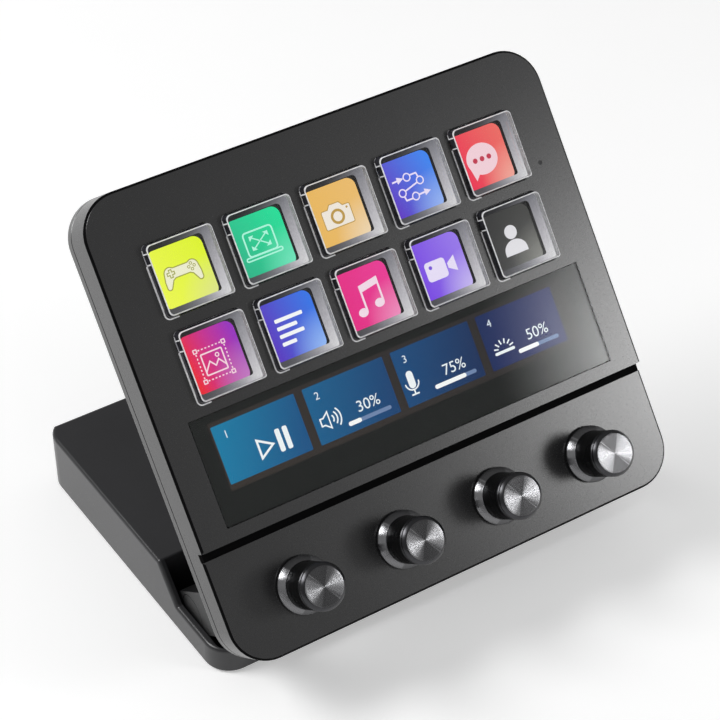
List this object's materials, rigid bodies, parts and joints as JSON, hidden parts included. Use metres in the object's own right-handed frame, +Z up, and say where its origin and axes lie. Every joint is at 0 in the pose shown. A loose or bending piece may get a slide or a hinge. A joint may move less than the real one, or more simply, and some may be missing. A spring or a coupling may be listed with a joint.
{
  "type": "macro keypad with knobs",
  "caption": "Desk macro keypad: clear display keys, a glass touch strip and push-turn knobs on a tilting panel over a weighted base.",
  "frame": {"origin": "on the desk, under the middle of the base's non-slip pad", "axes": "+X to the user's right along the hinge, +Y away from the user, +Z up"},
  "size_m": [0.1442, 0.1255, 0.1269],
  "materials": {
    "housing_black": "fine matte grain",
    "base_black": "fine matte grain",
    "hinge_black": "satin black",
    "strip_glass": "gloss",
    "clear_acrylic": "polished clear",
    "display_black": "gloss",
    "guide_black": "matte",
    "silicone": "translucent grey",
    "steel": "satin",
    "screw_steel": "blackened",
    "ballast_steel": "phosphated",
    "board_green": "solder mask",
    "chip_black": "moulded",
    "ribbon_amber": "polyimide film",
    "light_pipe": "clear",
    "pad_rubber": "matte",
    "knob_metal": "dark anodised, turned faces"
  },
  "bodies": {
    "base": {"base_shell": "base_black", "bottom_plate": "base_black", "base_screws": "screw_steel", "ballast": "ballast_steel", "rest_pad": "pad_rubber", "hinge_bracket_left": "steel", "hinge_bracket_right": "steel", "hinge_bracket_screws": "screw_steel", "hinge_pin_left": "hinge_black", "hinge_pin_right": "hinge_black", "friction_washers": "steel", "hinge_nuts": "steel"},
    "panel": {"front_cover": "housing_black", "rear_cover": "housing_black", "cover_screws": "screw_steel", "touch_glass": "strip_glass", "strip_display": "display_black", "status_light": "light_pipe", "key_frame": "guide_black", "key_membrane": "silicone", "key_display": "display_black", "display_bracket": "steel", "display_bracket_screws": "screw_steel", "main_board": "board_green", "main_board_screws": "screw_steel", "board_chips": "chip_black", "usb_socket": "steel", "encoder_board": "board_green", "encoder_nuts": "steel", "ribbon_cables": "ribbon_amber", "hinge_arm_left": "hinge_black", "hinge_arm_right": "hinge_black", "hinge_arm_screws": "screw_steel", "encoder_body_1": "steel", "encoder_body_2": "steel", "encoder_body_3": "steel", "encoder_body_4": "steel"},
    "key_01": {"key_01": "clear_acrylic"},
    "key_02": {"key_02": "clear_acrylic"},
    "key_03": {"key_03": "clear_acrylic"},
    "key_04": {"key_04": "clear_acrylic"},
    "key_05": {"key_05": "clear_acrylic"},
    "key_06": {"key_06": "clear_acrylic"},
    "key_07": {"key_07": "clear_acrylic"},
    "key_08": {"key_08": "clear_acrylic"},
    "key_09": {"key_09": "clear_acrylic"},
    "key_10": {"key_10": "clear_acrylic"},
    "plunger_1": {"encoder_plunger_1": "chip_black"},
    "knob_1": {"knob_1": "knob_metal", "encoder_shaft_1": "steel"},
    "plunger_2": {"encoder_plunger_2": "chip_black"},
    "knob_2": {"knob_2": "knob_metal", "encoder_shaft_2": "steel"},
    "plunger_3": {"encoder_plunger_3": "chip_black"},
    "knob_3": {"knob_3": "knob_metal", "encoder_shaft_3": "steel"},
    "plunger_4": {"encoder_plunger_4": "chip_black"},
    "knob_4": {"knob_4": "knob_metal", "encoder_shaft_4": "steel"}
  },
  "joints": [
    {"name": "panel_tilt", "type": "hinge", "parent": "base", "child": "panel", "pos_m": [0, -0.03165, 0.00985], "axis": [1, 0, 0], "range_deg": [-45, 13]},
    {"name": "key_01_press", "type": "slide", "parent": "panel", "child": "key_01", "axis": [0, 0.766, -0.6428], "range_m": [0, 0.001], "stiffness_N_per_m": 600, "springref_m": -0.0005},
    {"name": "key_02_press", "type": "slide", "parent": "panel", "child": "key_02", "axis": [0, 0.766, -0.6428], "range_m": [0, 0.001], "stiffness_N_per_m": 600, "springref_m": -0.0005},
    {"name": "key_03_press", "type": "slide", "parent": "panel", "child": "key_03", "axis": [0, 0.766, -0.6428], "range_m": [0, 0.001], "stiffness_N_per_m": 600, "springref_m": -0.0005},
    {"name": "key_04_press", "type": "slide", "parent": "panel", "child": "key_04", "axis": [0, 0.766, -0.6428], "range_m": [0, 0.001], "stiffness_N_per_m": 600, "springref_m": -0.0005},
    {"name": "key_05_press", "type": "slide", "parent": "panel", "child": "key_05", "axis": [0, 0.766, -0.6428], "range_m": [0, 0.001], "stiffness_N_per_m": 600, "springref_m": -0.0005},
    {"name": "key_06_press", "type": "slide", "parent": "panel", "child": "key_06", "axis": [0, 0.766, -0.6428], "range_m": [0, 0.001], "stiffness_N_per_m": 600, "springref_m": -0.0005},
    {"name": "key_07_press", "type": "slide", "parent": "panel", "child": "key_07", "axis": [0, 0.766, -0.6428], "range_m": [0, 0.001], "stiffness_N_per_m": 600, "springref_m": -0.0005},
    {"name": "key_08_press", "type": "slide", "parent": "panel", "child": "key_08", "axis": [0, 0.766, -0.6428], "range_m": [0, 0.001], "stiffness_N_per_m": 600, "springref_m": -0.0005},
    {"name": "key_09_press", "type": "slide", "parent": "panel", "child": "key_09", "axis": [0, 0.766, -0.6428], "range_m": [0, 0.001], "stiffness_N_per_m": 600, "springref_m": -0.0005},
    {"name": "key_10_press", "type": "slide", "parent": "panel", "child": "key_10", "axis": [0, 0.766, -0.6428], "range_m": [0, 0.001], "stiffness_N_per_m": 600, "springref_m": -0.0005},
    {"name": "knob_1_push", "type": "slide", "parent": "panel", "child": "plunger_1", "axis": [0, 0.766, -0.6428], "range_m": [0, 0.0005], "stiffness_N_per_m": 4000, "springref_m": -0.0003},
    {"name": "knob_1_turn", "type": "hinge", "parent": "plunger_1", "child": "knob_1", "pos_m": [-0.0475, -0.06254, 0.03838], "axis": [0, -0.766, 0.6428], "continuous": true},
    {"name": "knob_2_push", "type": "slide", "parent": "panel", "child": "plunger_2", "axis": [0, 0.766, -0.6428], "range_m": [0, 0.0005], "stiffness_N_per_m": 4000, "springref_m": -0.0003},
    {"name": "knob_2_turn", "type": "hinge", "parent": "plunger_2", "child": "knob_2", "pos_m": [-0.01583, -0.06254, 0.03838], "axis": [0, -0.766, 0.6428], "continuous": true},
    {"name": "knob_3_push", "type": "slide", "parent": "panel", "child": "plunger_3", "axis": [0, 0.766, -0.6428], "range_m": [0, 0.0005], "stiffness_N_per_m": 4000, "springref_m": -0.0003},
    {"name": "knob_3_turn", "type": "hinge", "parent": "plunger_3", "child": "knob_3", "pos_m": [0.01583, -0.06254, 0.03838], "axis": [0, -0.766, 0.6428], "continuous": true},
    {"name": "knob_4_push", "type": "slide", "parent": "panel", "child": "plunger_4", "axis": [0, 0.766, -0.6428], "range_m": [0, 0.0005], "stiffness_N_per_m": 4000, "springref_m": -0.0003},
    {"name": "knob_4_turn", "type": "hinge", "parent": "plunger_4", "child": "knob_4", "pos_m": [0.0475, -0.06254, 0.03838], "axis": [0, -0.766, 0.6428], "continuous": true}
  ]
}
